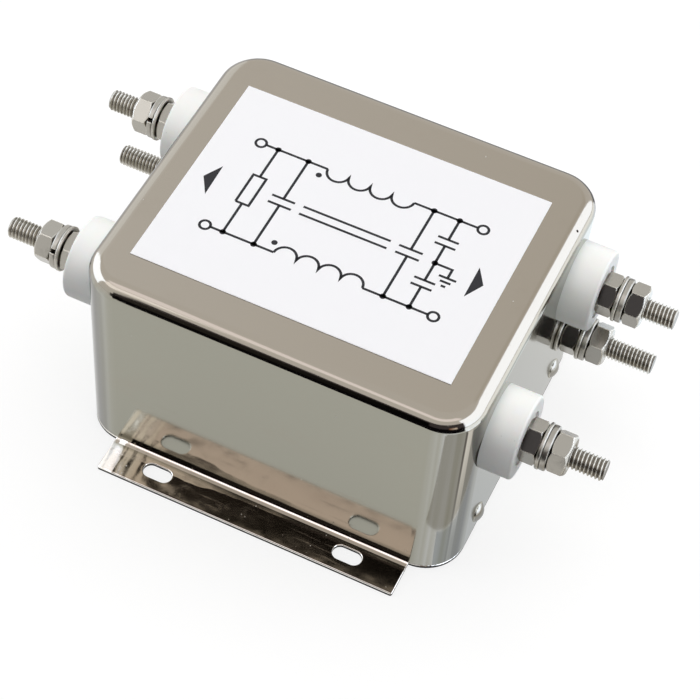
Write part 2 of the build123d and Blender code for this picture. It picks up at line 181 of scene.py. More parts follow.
class StageSettings(bpy.types.PropertyGroup):
    """Floor, lamps, cards and camera."""
    camera_place: FloatVectorProperty(
        name="Camera place", description="Where the camera stands",
        subtype="XYZ", unit="LENGTH", size=3, default=(0.126765, -0.325723, 0.468981))
    camera_turn: FloatVectorProperty(
        name="Camera turn", description="Which way the camera looks",
        subtype="EULER", unit="ROTATION", size=3,
        default=(math.radians(37.316), math.radians(-3.410), math.radians(25.164)))
    camera_lens: FloatProperty(
        name="Lens", description="Focal length of the camera on a sensor 36 mm wide", min=10.0, default=110.963)
    floor_color: ColorProperty(name="Floor colour", description="Colour of the pale floor", default=(0.24, 0.24, 0.24))
    floor_glow: FloatProperty(
        name="Floor glow", description="What is added to the floor so that it shows white outside the shadows",
        min=0.0, default=0.785)
    ambient: FloatProperty(name="Ambient", description="Strength of the light from all round", min=0.0, default=0.42)
    key_level: FloatProperty(
        name="Key level", description="Brightness of the soft light overhead", min=0.0, default=2.22)
    side_level: FloatProperty(
        name="Side level", description="Brightness of the soft light beside the line end", min=0.0, default=2.0)
    window_level: FloatProperty(
        name="Window level", description="Brightness of the soft light behind the load end", min=0.0, default=2.2)


# ---- Building materials

FLOAT, VECTOR = "NodeSocketFloat", "NodeSocketVector"


def add_node(tree, kind, inputs=None, **settings):
    """New node with these settings; an input takes a value or another node's output socket."""
    node = tree.nodes.new(kind)
    for name, value in settings.items():
        setattr(node, name, value)
    for name, value in (inputs or {}).items():
        if isinstance(value, bpy.types.NodeSocket):
            tree.links.new(value, node.inputs[name])
        else:
            node.inputs[name].default_value = value
    return node


def maths(operation, first, second=0.0, clamp=False):
    """Output of a maths node on one or two values, of which one at least is another node's output."""
    tree = (first if isinstance(first, bpy.types.NodeSocket) else second).id_data
    return add_node(tree, "ShaderNodeMath", {0: first, 1: second}, operation=operation, use_clamp=clamp).outputs[0]


def times(first, *others):
    """Product of two or more values."""
    for other in others:
        first = maths("MULTIPLY", first, other)
    return first


def plus(first, *others):
    """Sum of two or more values."""
    for other in others:
        first = maths("ADD", first, other)
    return first


def blend(share, first, second):
    """Output of a colour mix: first where share is 0, second where it is 1."""
    tree = share.id_data
    node = add_node(tree, "ShaderNodeMix", {0: share}, data_type="RGBA")
    for socket, value in ((node.inputs[6], first), (node.inputs[7], second)):
        if isinstance(value, bpy.types.NodeSocket):
            tree.links.new(value, socket)
        else:
            socket.default_value = (*value, 1.0)[:4]
    return node.outputs[2]


def remap(value, low, high, to_low=0.0, to_high=1.0):
    """Value taken from the range low..high to the range to_low..to_high, and held there."""
    inputs = {"Value": value, "From Min": low, "From Max": high, "To Min": to_low, "To Max": to_high}
    return add_node(value.id_data, "ShaderNodeMapRange", inputs).outputs["Result"]


def band(value, rise, fall):
    """1 between two ramps, one up over the range rise and one down over the range fall, and 0 outside them."""
    return times(remap(value, *rise), remap(value, *fall, 1.0, 0.0))


def axes_of(vector):
    """X, Y and Z of a vector."""
    return add_node(vector.id_data, "ShaderNodeSeparateXYZ", {0: vector}).outputs


def stretched(coordinates, scale, turn=(0.0, 0.0, 0.0)):
    """Coordinates scaled and turned, for marks that run one way."""
    inputs = {"Vector": coordinates, "Rotation": turn, "Scale": scale}
    return add_node(coordinates.id_data, "ShaderNodeMapping", inputs).outputs["Vector"]


def noise(coordinates, scale, detail=2.0, roughness=0.5, distortion=0.0):
    """Value of a noise texture."""
    inputs = {"Vector": coordinates, "Scale": scale, "Detail": detail, "Roughness": roughness,
              "Distortion": distortion}
    return add_node(coordinates.id_data, "ShaderNodeTexNoise", inputs).outputs["Fac"]


def new_group(name, inputs, outputs):
    """Node group with named inputs (kind, name, default) and outputs (kind, name)."""
    group = bpy.data.node_groups.new(name, "ShaderNodeTree")
    for kind, label, default in inputs:
        socket = group.interface.new_socket(label, in_out="INPUT", socket_type=kind)
        if default is not None:
            socket.default_value = default
    for kind, label in outputs:
        group.interface.new_socket(label, in_out="OUTPUT", socket_type=kind)
    entry = group.nodes.new("NodeGroupInput")
    leave = group.nodes.new("NodeGroupOutput")
    return group, entry.outputs, leave.inputs


def mask_group(name, scale, cover):
    """Node group for a mask, with the scale of what it shows and the share that it covers."""
    inputs = [(VECTOR, "Coordinates", None), (FLOAT, "Scale", scale), (FLOAT, "Cover", cover)]
    return new_group(name, inputs, [(FLOAT, "Mask")])


def build_smudges():
    """Soft patches where a polished or moulded face is a little duller."""
    group, given, result = mask_group("Smudges", 60.0, 0.5)
    broad = noise(given["Coordinates"], given["Scale"], 3.0, 0.55, 0.4)
    fine_scale = times(given["Scale"], 7.0)
    fine = noise(given["Coordinates"], fine_scale, 2.0)
    mixed = plus(times(broad, 0.75), times(fine, 0.25))
    start = maths("SUBTRACT", 0.85, times(given["Cover"], 0.5))
    group.links.new(remap(mixed, start, 0.85), result["Mask"])
    return group


def build_scratches():
    """Hairline scratches that run three ways."""
    group, given, result = mask_group("Hairlines", 500.0, 0.3)
    total = None
    edge = maths("SUBTRACT", 0.78, times(given["Cover"], 0.25))
    for angle in (0.35, 1.4, 2.6):
        lines = noise(stretched(given["Coordinates"], (0.05, 1.0, 1.0), (angle, 0.3 * angle, angle)),
                      given["Scale"], 1.0)
        lines = remap(lines, edge, plus(edge, 0.05))
        total = lines if total is None else maths("MAXIMUM", total, lines)
    group.links.new(total, result["Mask"])
    return group


def build_specks():
    """Scattered grains of dust."""
    group, given, result = mask_group("Specks", 700.0, 0.2)
    grains = add_node(group, "ShaderNodeTexVoronoi", {"Vector": given["Coordinates"], "Scale": given["Scale"]})
    near = remap(grains.outputs["Distance"], 0.10, 0.22, 1.0, 0.0)
    pick = add_node(group, "ShaderNodeSeparateColor", {"Color": grains.outputs["Color"]}).outputs[0]
    chosen = maths("LESS_THAN", pick, given["Cover"])
    group.links.new(times(near, chosen), result["Mask"])
    return group


def build_edges():
    """Outer edges of a piece: their mask, and the normal that rounds them."""
    group, given, result = new_group(
        "Edges", [(FLOAT, "Width", 0.0002)], [(FLOAT, "Mask"), (VECTOR, "Normal")])
    round_edge = add_node(group, "ShaderNodeBevel", {"Radius": given["Width"]}, samples=4).outputs["Normal"]
    flat = add_node(group, "ShaderNodeNewGeometry").outputs["Normal"]
    same = add_node(group, "ShaderNodeVectorMath", {0: round_edge, 1: flat}, operation="DOT_PRODUCT").outputs["Value"]
    group.links.new(remap(same, 0.985, 0.89), result["Mask"])
    group.links.new(round_edge, result["Normal"])
    return group


def build_gap_shade():
    """Painted shade between pieces, where they close in."""
    group, given, result = new_group("GapShade", [(FLOAT, "Distance", 0.001)], [(FLOAT, "Mask")])
    open_share = add_node(group, "ShaderNodeAmbientOcclusion", {"Distance": given["Distance"]}, samples=4)
    group.links.new(remap(open_share.outputs["AO"], 0.72, 0.25, 0.0, 0.85), result["Mask"])
    return group


def build_grain():
    """Grain of a drawn, turned or moulded face, longer along the axes that Stretch makes small."""
    group, given, result = new_group(
        "Grain", [(VECTOR, "Coordinates", None), (VECTOR, "Stretch", (1.0, 1.0, 1.0)), (FLOAT, "Scale", 1.0),
                  (FLOAT, "Detail", 2.0), (FLOAT, "Roughness", 0.5)], [(FLOAT, "Height")])
    along = stretched(given["Coordinates"], given["Stretch"])
    height = noise(along, given["Scale"], given["Detail"], given["Roughness"])
    group.links.new(height, result["Height"])
    return group


BUILDERS = {"Smudges": build_smudges, "Hairlines": build_scratches, "Specks": build_specks,
            "Edges": build_edges, "GapShade": build_gap_shade, "Grain": build_grain}


def effect(tree, name, **inputs):
    """Outputs of a shared effect, built the first time that it is asked for, with this material's own values."""
    group = bpy.data.node_groups.get(name) or BUILDERS[name]()
    values = {label.replace("_", " "): value for label, value in inputs.items()}
    return add_node(tree, "ShaderNodeGroup", values, node_tree=group).outputs


def mask(place, name, scale, cover):
    """Mask of the shared smudges, hairlines or specks."""
    return effect(place.id_data, name, Coordinates=place, Scale=scale, Cover=cover)["Mask"]


def grain(place, scale=1.0, stretch=(1.0, 1.0, 1.0), detail=2.0, roughness=0.5):
    """Height of the shared grain."""
    return effect(place.id_data, "Grain", Coordinates=place, Stretch=stretch, Scale=scale, Detail=detail,
                  Roughness=roughness)["Height"]


def new_material(name, **constants):
    """Material with one Principled shader; returns it, its shader and the object coordinates."""
    material = bpy.data.materials.new(name)
    material.use_nodes = True
    tree = material.node_tree
    shader = tree.nodes["Principled BSDF"]
    for label, value in constants.items():
        shader.inputs[label.replace("_", " ")].default_value = value
    place = add_node(tree, "ShaderNodeTexCoord").outputs["Object"]
    return material, shader, place


def feed(shader, **values):
    """Link values to the shader's inputs."""
    for label, value in values.items():
        shader.id_data.links.new(value, shader.inputs[label.replace("_", " ")])


def tinted(color, factor):
    """Colour times a factor."""
    return [min(1.0, channel * factor) for channel in color]


def bump(height, distance, strength=1.0, normal=None):
    """Normal of a bump of this height."""
    inputs = {"Height": height, "Distance": distance, "Strength": strength}
    if normal is not None:
        inputs["Normal"] = normal
    return add_node(height.id_data, "ShaderNodeBump", inputs).outputs["Normal"]


def dress(names, material):
    """Give a material to nodes of the frame."""
    for name in names:
        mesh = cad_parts[name].data
        if not mesh.materials:
            mesh.materials.append(material)
        for index in range(len(mesh.materials)):
            mesh.materials[index] = material


def new_object(builder, name, material):
    """New object from a bmesh, in one material."""
    mesh = bpy.data.meshes.new(name)
    builder.to_mesh(mesh)
    builder.free()
    mesh.materials.append(material)
    item = bpy.data.objects.new(name, mesh)
    bpy.context.scene.collection.objects.link(item)
    return item


def finish_piece(builder, name, material):
    """New piece from a bmesh, carried by the filter."""
    piece = new_object(builder, name, material)
    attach(piece, "root")
    return piece


# ---- Can and base plate

NICKEL_DUST = (0.55, 0.53, 0.49)
CORNER_SHADE = (0.07, 0.055, 0.045)
OUTLINE_SHADE = (0.09, 0.085, 0.075)
PIT_SHADE = (0.02, 0.012, 0.008)
EDGE_SHADOW_COLOR = (0.012, 0.010, 0.009)
# Height of the painted shadow at the foot of the plate's sheared edges, and the ripples' distance from crest to crest
EDGE_SHADOW_HEIGHT = 0.0007
RIPPLE_LENGTH = 0.003


def nickel_finish(place, settings, color, roughness, dust):
    """Colour, roughness, metal and hairlines of plated nickel with faint stains and dust on this base colour."""
    stains = mask(place, "Smudges", 45.0, 0.55)
    lines = mask(place, "Hairlines", 900.0, 0.25)
    specks = mask(place, "Specks", 900.0, dust)
    color = blend(times(stains, 0.3), color, settings.stain_and_shade_color)
    color = blend(times(specks, 0.8), color, NICKEL_DUST)
    rough = plus(roughness, times(stains, 0.05), times(lines, 0.10))
    rough = maths("MAXIMUM", rough, times(specks, 0.55))
    metal = maths("SUBTRACT", 1.0, times(specks, 0.6))
    return color, rough, metal, lines


def facing(place):
    """Normal of the face, in the tree of these coordinates."""
    return add_node(place.id_data, "ShaderNodeNewGeometry").outputs["Normal"]


def face_directions(place):
    """How far a face looks along X, Y and Z, each from 0 to 1."""
    return [maths("ABSOLUTE", part) for part in axes_of(facing(place))]


def can_nickel(settings):
    """Nickel of the drawn can: walls in a darker, cooler painted shade, upright corners with painted reflection streaks
    and a painted highlight line, painted darker outlines where the rounded edges turn away, slow waves and one small
    pit."""
    material, shader, place = new_material("can_nickel", Metallic=1.0)
    along, across, up = face_directions(place)
    wall = remap(up, 0.75, 0.15)
    # Painted reflection: brighter vertical streaks on the upright corners
    corner = times(remap(times(along, across), 0.08, 0.36), wall)
    reflection_streaks = grain(place, stretch=(420.0, 420.0, 6.0))
    corner = times(corner, remap(reflection_streaks, 0.35, 0.62, 0.1, 1.0))
    # Painted shade: the walls take a darker, cooler colour than the lid
    color = blend(wall, settings.nickel_color, settings.wall_shade_color)
    color = blend(corner, color, settings.corner_highlight_color)

    # A painted highlight line with a painted shade line beside it, where the corner has turned so far, stronger higher
    # up
    turn = maths("DIVIDE", along, plus(along, across, 0.001))
    high = times(remap(axes_of(place)["Z"], 0.012, 0.05, 0.2, 1.0), remap(up, 0.25, 0.05))
    highlight_line = times(band(turn, (0.565, 0.578), (0.628, 0.642)), high)
    shade_line = times(band(turn, (0.54, 0.55), (0.565, 0.575)), high, 0.8)
    color = blend(highlight_line, color, settings.burnish_and_highlight_color)
    color = blend(shade_line, color, CORNER_SHADE)
    color, rough, metal, lines = nickel_finish(place, settings, color, settings.can_roughness, 0.004)

    # Painted shade as darker outlines on the rounded edges, and the pit
    largest = maths("MAXIMUM", maths("MAXIMUM", along, across), up)
    tree = place.id_data
    turned = remap(add_node(tree, "ShaderNodeLayerWeight", {"Blend": 0.5}).outputs["Facing"], 0.54, 0.76)
    color = blend(times(turned, remap(largest, 0.99, 0.95), 0.85), color, OUTLINE_SHADE)
    away = add_node(tree, "ShaderNodeVectorMath", {0: place, 1: tuple(settings.pit_place)}, operation="DISTANCE")
    hole = remap(away.outputs["Value"], settings.pit_radius * 0.6, settings.pit_radius, 1.0, 0.0)
    color = blend(hole, color, PIT_SHADE)
    rough = maths("MAXIMUM", rough, times(hole, 0.7))

    normal = bump(grain(place, 55.0, detail=1.0, roughness=0.4), settings.can_wave)
    normal = bump(grain(place, stretch=(300.0, 300.0, 12.0)), 0.000003, 0.5, normal)
    feed(shader, Base_Color=color, Roughness=rough, Metallic=metal, Normal=bump(lines, 0.000002, 0.4, normal))
    return material


def plate_nickel(settings):
    """Nickel of the plate: flanges with a painted highlight on the bend beside the can, that climb a little away from
    it and are rippled at one end, and sheared edges with a painted shadow at their foot and a bright rim at their top,
    partly burnished and partly painted highlight."""
    material, shader, place = new_material("plate_nickel", Metallic=1.0)
    x, y, z = axes_of(place)
    out = maths("SUBTRACT", maths("ABSOLUTE", y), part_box("case_cover")[1].y)
    color, rough, metal, lines = nickel_finish(place, settings, settings.plate_color, settings.plate_roughness, 0.10)

    # Painted highlights on the bend, the outer rim and the line end, a side band partly burnished and partly painted
    # highlight, a painted shadow at the foot of the edges, and painted shade beside the bend
    worn = grain(place, stretch=(260.0, 900.0, 900.0))
    bend = times(band(out, (-0.0001, 0.0002), (0.0003, 0.0006)), remap(worn, 0.32, 0.6, 0.25, 0.72))
    # Partly burnished and partly painted highlight on the side faces, and a painted highlight on the outer rim
    polished = maths("MAXIMUM", bend, remap(face_directions(place)[2], 0.97, 0.75))
    polished = maths("MAXIMUM", polished, remap(out, 0.0102, 0.0103, 0.0, 0.8))
    # Painted highlight: the flanges' line end is brightened in colour
    tip = times(remap(x, -0.0415, -0.0380, 0.6, 0.22), remap(x, -0.0355, -0.0325, 1.0, 0.0))
    color = blend(maths("MAXIMUM", polished, tip), color, settings.burnish_and_highlight_color)
    # Painted shadow: the foot of the sheared edges is nearly black up to a wavy height, and rougher there as a sheared
    # edge is
    edge_shadow_top = plus(EDGE_SHADOW_HEIGHT, times(noise(place, 900.0, 2.0), 0.0001))
    edge_shadow = maths("LESS_THAN", z, edge_shadow_top)
    color = blend(edge_shadow, color, EDGE_SHADOW_COLOR)
    # Painted shade: a darker strip on the flange just beside the bend, in the stain colour
    beside = times(remap(out, 0.0005, 0.0008, 0.0, 0.85), remap(out, 0.0015, 0.0026, 1.0, 0.0))
    color = blend(beside, color, settings.stain_and_shade_color)

    # Duller clouds, most of them towards the line end
    clouds = remap(noise(place, 230.0, 3.0, 0.6), 0.50, 0.72, 0.0, 0.2)
    clouds = plus(times(clouds, remap(x, -0.025, 0.02, 1.0, 0.15)), remap(x, -0.036, -0.03, 0.1, 0.0))
    rough = plus(rough, times(clouds, remap(out, 0.0016, 0.003)))
    rough = maths("MAXIMUM", rough, times(edge_shadow, 0.5))

    # Height away from the can: the bend, a nearly level strip, the climb, whose start sways, and the outer rim
    sway = times(maths("SUBTRACT", noise(place, 105.0, 2.0, 0.5), 0.5), 0.0034)
    sway = plus(sway, remap(x, -0.02, 0.03, -0.0008, 0.0042))
    sway = times(sway, remap(x, -0.02, 0.025, 1.0, 0.4))
    swayed = plus(out, times(sway, remap(out, 0.0015, 0.0030)))
    bent = plus(remap(out, 0.0, 0.0005, 0.0, -0.0005 * settings.bend_slope),
                remap(out, 0.0005, 0.0015, 0.0, -0.00057 * settings.bend_slope))
    level = remap(swayed, 0.0015, 0.0034, 0.0, 0.0019 * settings.flange_slope * 0.2)
    climb = remap(swayed, 0.0034, 0.0184, 0.0, 0.0150 * settings.flange_slope)
    rim = remap(out, 0.0102, 0.01055, 0.0, -0.00035 * settings.bend_slope)
    profile = plus(plus(bent, level), plus(climb, rim))
    waves = times(grain(place, 170.0, detail=1.0, roughness=0.4), settings.plate_wave)

    # Ripples and roll at the line end
    skew = plus(x, times(y, 0.06), times(noise(place, 260.0, 2.0), 0.0012))
    ripple = maths("SINE", times(skew, 2 * math.pi / RIPPLE_LENGTH))
    ripple = times(ripple, remap(x, -0.0395, -0.0300, 1.0, 0.0), settings.ripple)
    roll = remap(x, -0.0422, -0.0380, -0.0042 * settings.end_roll, 0.0)
    height = plus(plus(profile, waves), plus(ripple, roll))
    normal = bump(lines, 0.000002, 0.4, bump(height, 1.0))
    feed(shader, Base_Color=color, Roughness=rough, Metallic=metal, Normal=normal)
    return material


def bracket_nickel(settings):
    """Duller nickel of the hidden brackets."""
    material, shader, place = new_material("bracket_nickel", Metallic=1.0)
    roughness = settings.can_roughness + 0.1
    color, rough, metal, lines = nickel_finish(place, settings, settings.nickel_color, roughness, 0.05)
    feed(shader, Base_Color=color, Roughness=rough, Metallic=metal, Normal=bump(lines, 0.000003, 0.5))
    return material


class FILTER_OT_can(bpy.types.Operator):
    """Finish the drawn can and its brackets in polished nickel"""
    bl_idname = "line_filter.can"
    bl_label = "Finish the can"

    def execute(self, context):
        settings = context.scene.filter_can
        dress(["case_cover"], can_nickel(settings))
        dress([f"bracket_{end}" for end in ENDS], bracket_nickel(settings))
        return {"FINISHED"}


class FILTER_OT_plate(bpy.types.Operator):
    """Finish the base plate and its slotted flanges in wavy, dusty nickel"""
    bl_idname = "line_filter.plate"
    bl_label = "Finish the base plate"

    def execute(self, context):
        dress(["base_plate"], plate_nickel(context.scene.filter_can))
        return {"FINISHED"}


# ---- Label

def strip(builder, points, width, level):
    """Flat line through the points, mitred at its corners. All points are in metres."""
    sides = []
    count = len(points)
    for index, point in enumerate(points):
        before = (point - points[index - 1]).normalized() if index else None
        after = (points[index + 1] - point).normalized() if index < count - 1 else None
        first, last = before or after, after or before
        across = Vector((-first.y, first.x)) + Vector((-last.y, last.x))
        across.normalize()
        reach = width / 2 / max(0.3, across.dot(Vector((-first.y, first.x))))
        sides.append([builder.verts.new((*(point + across * reach * sign), level)) for sign in (1, -1)])
    for (left, right), (next_left, next_right) in zip(sides, sides[1:]):
        builder.faces.new((left, right, next_right, next_left))


def arc(centre, radius, start, end, steps=14):
    """Points of an arc, in millimetres and degrees."""
    angles = [math.radians(start + (end - start) * step / steps) for step in range(steps + 1)]
    return [(centre[0] + radius * math.cos(a), centre[1] + radius * math.sin(a)) for a in angles]


# Places in the circuit diagram, in millimetres from the label's middle: the rails and their ends, the coils and their
# humps, the terminals' rings, the resistor, the capacitors across the rails, those to earth, and the earth sign
RAIL, RAIL_END, COIL_START, HUMP, RING = 15.5, 29.5, -12.0, 3.0, 1.4
RESISTOR_X, CAPACITOR_X, EARTH_X, SIGN_X = -26.0, 17.5, 24.5, 29.2
PLATES = (6.2, 8.4)
# Middles and radii of the filled dots: joints, and one at the start of each coil
DOTS = [(x, side * RAIL, 0.85) for x in (RESISTOR_X, -CAPACITOR_X, CAPACITOR_X, EARTH_X) for side in (1, -1)]
DOTS += [(EARTH_X, 0.0, 0.85), (-13.2, 12.6, 0.8), (-13.2, -12.6, 0.8)]
# Corners of the two direction marks, in millimetres from the part's middle
MARKS = (((-36.45, 3.26), (-39.33, -2.0), (-36.2, -7.2)), ((34.2, 3.29), (37.25, -1.6), (34.3, -7.04)))


def diagram_lines():
    """Lines of the printed circuit: two rails with a coil each, what joins them and an earth sign."""
    lines = []
    for side in (1, -1):
        level = side * RAIL
        lines.append([(-RAIL_END, level), (COIL_START, level)])
        humps = [(COIL_START, level)]
        for turn in range(4):
            humps += arc((COIL_START + HUMP * (2 * turn + 1), level), HUMP, 180, 180 + side * 180)[1:]
        lines.append(humps)
        lines.append([(COIL_START + 8 * HUMP, level), (RAIL_END, level)])
        lines.append([(COIL_START, side * 1.3), (-COIL_START, side * 1.3)])
        lines += [arc((x, level), RING, 0, 360, 28) for x in (-RAIL_END - RING, RAIL_END + RING)]
        lines.append([(RESISTOR_X, side * 5.0), (RESISTOR_X, level)])
        for x in (-CAPACITOR_X, CAPACITOR_X):
            lines.append([(x, side * 1.2), (x, level)])
            lines.append([(x - 3.2, side * 1.2), (x + 3.2, side * 1.2)])
        lines.append([(EARTH_X, 0.0), (EARTH_X, side * PLATES[0])])
        lines.append([(EARTH_X, side * PLATES[1]), (EARTH_X, level)])
        for plate in PLATES:
            lines.append([(21.7, side * plate), (27.3, side * plate)])
    lines.append([(-27.8, -5.0), (-27.8, 5.0), (-24.2, 5.0), (-24.2, -5.0), (-27.8, -5.0)])
    lines.append([(EARTH_X, 0.0), (SIGN_X, 0.0), (SIGN_X, -3.0)])
    for drop, half in ((3.0, 2.3), (4.4, 1.4), (5.8, 0.6)):
        lines.append([(SIGN_X - half, -drop), (SIGN_X + half, -drop)])
    return lines


def label_film(settings):
    """White film with a faint grain and a soft sheen."""
    material, shader, place = new_material("label_film_white", Roughness=0.4, Specular_IOR_Level=0.35)
    fibre = grain(place, 2600.0, detail=3.0, roughness=0.6)
    patches = mask(place, "Smudges", 40.0, 0.6)
    mixed = plus(times(patches, 0.35), times(fibre, 0.3))
    feed(shader, Base_Color=blend(mixed, settings.film_color, tinted(settings.film_color, 0.95)),
         Roughness=remap(patches, 0.0, 1.0, 0.38, 0.5), Normal=bump(fibre, 0.000004, 0.5))
    return material


def printing_ink(settings):
    """Black ink, a little uneven where the film's grain shows through."""
    material, shader, place = new_material("printing_ink", Roughness=0.45, Specular_IOR_Level=0.3)
    fibre = grain(place, 3500.0, roughness=0.6)
    thin = remap(fibre, 0.60, 0.75, 0.0, 0.35)
    feed(shader, Base_Color=blend(thin, settings.ink_color, (0.06, 0.058, 0.065)),
         Roughness=remap(fibre, 0.3, 0.7, 0.4, 0.55))
    return material


class FILTER_OT_label(bpy.types.Operator):
    """Finish the white label, with the two direction marks and a plain circuit diagram printed on it"""
    bl_idname = "line_filter.label"
    bl_label = "Finish the label"

    def execute(self, context):
        settings = context.scene.filter_label
        dress(["label"], label_film(settings))
        ink = printing_ink(settings)
        low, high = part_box("label")
        middle = Vector(((low.x + high.x) / 2, (low.y + high.y) / 2))
        level = high.z + settings.print_lift

        marks = bmesh.new()
        for corners in MARKS:
            marks.faces.new([marks.verts.new((x * MM, y * MM, level)) for x, y in corners])
        bmesh.ops.recalc_face_normals(marks, faces=marks.faces)
        finish_piece(marks, "direction_marks", ink)

        diagram = bmesh.new()
        for line in diagram_lines():
            strip(diagram, [middle + Vector(point) * MM for point in line], settings.line_width, level)
        for x, y, radius in DOTS:
            rim = [middle + Vector(point) * MM for point in arc((x, y), radius, 0, 360, 16)[:-1]]
            diagram.faces.new([diagram.verts.new((*point, level)) for point in rim])
        bmesh.ops.recalc_face_normals(diagram, faces=diagram.faces)
        finish_piece(diagram, "circuit_diagram", ink)
        return {"FINISHED"}


# ---- Studs, nuts, washers and rivets

PAINTED_DARK_REFLECTION = (0.015, 0.012, 0.014)
# Widths of the rounded edges with their painted highlight, and of the painted shade between pieces
EDGE_WIDTH = 0.00042
GAP_SHADE_WIDTH = 0.0009
# Where the thread stops before the head, and its longest run
PLAIN_LENGTH = 1.5 * MM
LONGEST_THREAD = 24.0 * MM


def dark_reflection_facets(place):
    """Mask of the facets that look forward and up at the load end, which are nearly black in the photograph; a dark
    reflection is painted on them.
    """
    normal = axes_of(facing(place))
    looking = times(remap(normal["Y"], -0.5, -0.62), remap(normal["Z"], 0.35, 0.5))
    return times(looking, maths("GREATER_THAN", axes_of(place)["X"], 0.0))


def steel(name, settings, roughness, grooved=False, stretch=(40.0, 900.0, 900.0), dark=0.0):
    """Stainless steel: where it is grooved, with a painted highlight on the crests and painted shade in the roots and
    on the end faces; elsewhere with a painted highlight on its edges, painted shade between pieces, and a painted dark
    reflection on the dark facets by the share dark."""
    material, shader, place = new_material(name, Metallic=1.0)
    drawn = grain(place, stretch=stretch, detail=3.0, roughness=0.6)
    stains = mask(place, "Smudges", 220.0, 0.6)
    color = blend(times(stains, 0.5), settings.steel_color, tinted(settings.steel_color, 0.72))
    if grooved:
        depth = add_node(place.id_data, "ShaderNodeAttribute", attribute_name="groove").outputs["Fac"]
        root_shade = times(remap(depth, 0.6, 1.0), remap(stains, 0.0, 1.0, 0.8, 1.0))
        # Painted highlight on the crests of the thread
        color = blend(remap(depth, 1.0, 0.3), color, settings.crest_highlight_color)
        # Painted shade in the roots of the thread, a little uneven with the stains
        color = blend(root_shade, color, settings.gap_shade_color)
        # Painted shade on the faces that look along the stud, at its end
        color = blend(remap(face_directions(place)[0], 0.88, 0.97), color, settings.tip_shade_color)
        rough = plus(roughness, times(depth, 0.2))
        normal = bump(drawn, 0.000012, 0.5)
    else:
        if dark:
            # Painted dark reflection on the facets that look forward and up at the load end
            color = blend(times(dark_reflection_facets(place), dark), color, PAINTED_DARK_REFLECTION)
        edges = effect(place.id_data, "Edges", Width=EDGE_WIDTH)
        gap_shade = effect(place.id_data, "GapShade", Distance=GAP_SHADE_WIDTH)["Mask"]
        # Painted highlight: the edges are brightened well above the steel's colour
        color = blend(times(edges["Mask"], 0.85), color, tinted(settings.steel_color, 2.4))
        # Painted shade between pieces
        color = blend(gap_shade, color, settings.gap_shade_color)
        rough = plus(roughness, times(stains, 0.12))
        normal = bump(drawn, 0.000012, 0.5, edges["Normal"])
    feed(shader, Base_Color=color, Roughness=rough, Normal=normal)
    return material


def thread_depth_at(turns):
    """How deep the thread is, from 0 on its crest to 1 in its root, at this many turns."""
    away = abs((turns % 1.0) - 0.5) * 2.0
    return min(1.0, max(0.0, (away - 0.06) / 0.80))


def make_stud(name, settings, material):
    """Threaded stud with its hexagon head, in place of the plain one."""
    low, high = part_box(name)
    outward = low.x + high.x > 0
    pitch, around = settings.thread_pitch, settings.around
    rod = high.x - low.x - settings.head_height
    threaded = min(rod - PLAIN_LENGTH, LONGEST_THREAD)
    step = pitch / settings.steps_per_turn
    stations = [0.0, rod - threaded]
    while stations[-1] + step < rod - 1e-6:
        stations.append(stations[-1] + step)
    stations.append(rod)

    builder = bmesh.new()
    groove = builder.verts.layers.float.new("groove")
    rings = []
    for station in stations:
        left = rod - station
        limit = settings.stud_radius - max(0.0, settings.tip_chamfer - left)
        run_in = min(1.0, max(0.0, (station - (rod - threaded)) / pitch))
        ring = []
        for index in range(around):
            angle = 2 * math.pi * index / around
            depth = thread_depth_at(station / pitch - index / around) * run_in
            radius = min(settings.stud_radius - depth * settings.thread_depth, limit)
            vert = builder.verts.new((station + settings.head_height, radius * math.cos(angle),
                                      radius * math.sin(angle)))
            if left < settings.tip_chamfer:
                depth = max(depth, 0.85 - 0.3 * left / settings.tip_chamfer)
            vert[groove] = depth
            ring.append(vert)
        rings.append(ring)
    for ring, following in zip(rings, rings[1:]):
        for index in range(around):
            after = (index + 1) % around
            builder.faces.new((ring[index], ring[after], following[after], following[index])).smooth = True
    builder.faces.new(reversed(rings[0]))
    builder.faces.new(rings[-1])

    corner = (high.y - low.y) / 2
    hexagon = [(corner * math.cos(math.radians(60 * k)), corner * math.sin(math.radians(60 * k))) for k in range(6)]
    back, front = [[builder.verts.new((x, y, z)) for y, z in hexagon] for x in (0.0, settings.head_height)]
    builder.faces.new(reversed(back))
    builder.faces.new(front)
    for index in range(6):
        after = (index + 1) % 6
        builder.faces.new((back[index], back[after], front[after], front[index]))
    bmesh.ops.recalc_face_normals(builder, faces=builder.faces)

    base = Vector((low.x if outward else high.x, (low.y + high.y) / 2, (low.z + high.z) / 2))
    turn = Matrix.Rotation(0.0 if outward else math.pi, 4, "Z")
    bmesh.ops.transform(builder, matrix=Matrix.Translation(base) @ turn, verts=builder.verts)
    piece = finish_piece(builder, f"threaded_{name}", material)
    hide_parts(name)


class FILTER_OT_studs(bpy.types.Operator):
    """Cut the threads of the six studs"""
    bl_idname = "line_filter.studs"
    bl_label = "Make the threaded studs"

    def execute(self, context):
        settings = context.scene.filter_hardware
        material = steel("thread_steel", settings, settings.steel_roughness, grooved=True)
        for name in STUDS:
            make_stud(name, settings, material)
        return {"FINISHED"}


class FILTER_OT_nuts(bpy.types.Operator):
    """Finish nuts and washers in stainless steel, and the rivets in bright metal"""
    bl_idname = "line_filter.nuts"
    bl_label = "Finish nuts, washers and rivets"

    def execute(self, context):
        settings = context.scene.filter_hardware
        dress(["clamp_nuts", "wire_nuts"], steel("nut_steel", settings, settings.steel_roughness, dark=0.9))
        washer = steel("washer_steel", settings, settings.steel_roughness + 0.08, stretch=(900.0, 120.0, 120.0))
        dress(["flat_washers", "spring_washers", "board_screws"], washer)
        dress(["rivets"], steel("rivet_steel", settings, 0.09, stretch=(300.0, 300.0, 300.0)))
        return {"FINISHED"}


# ---- Bushings

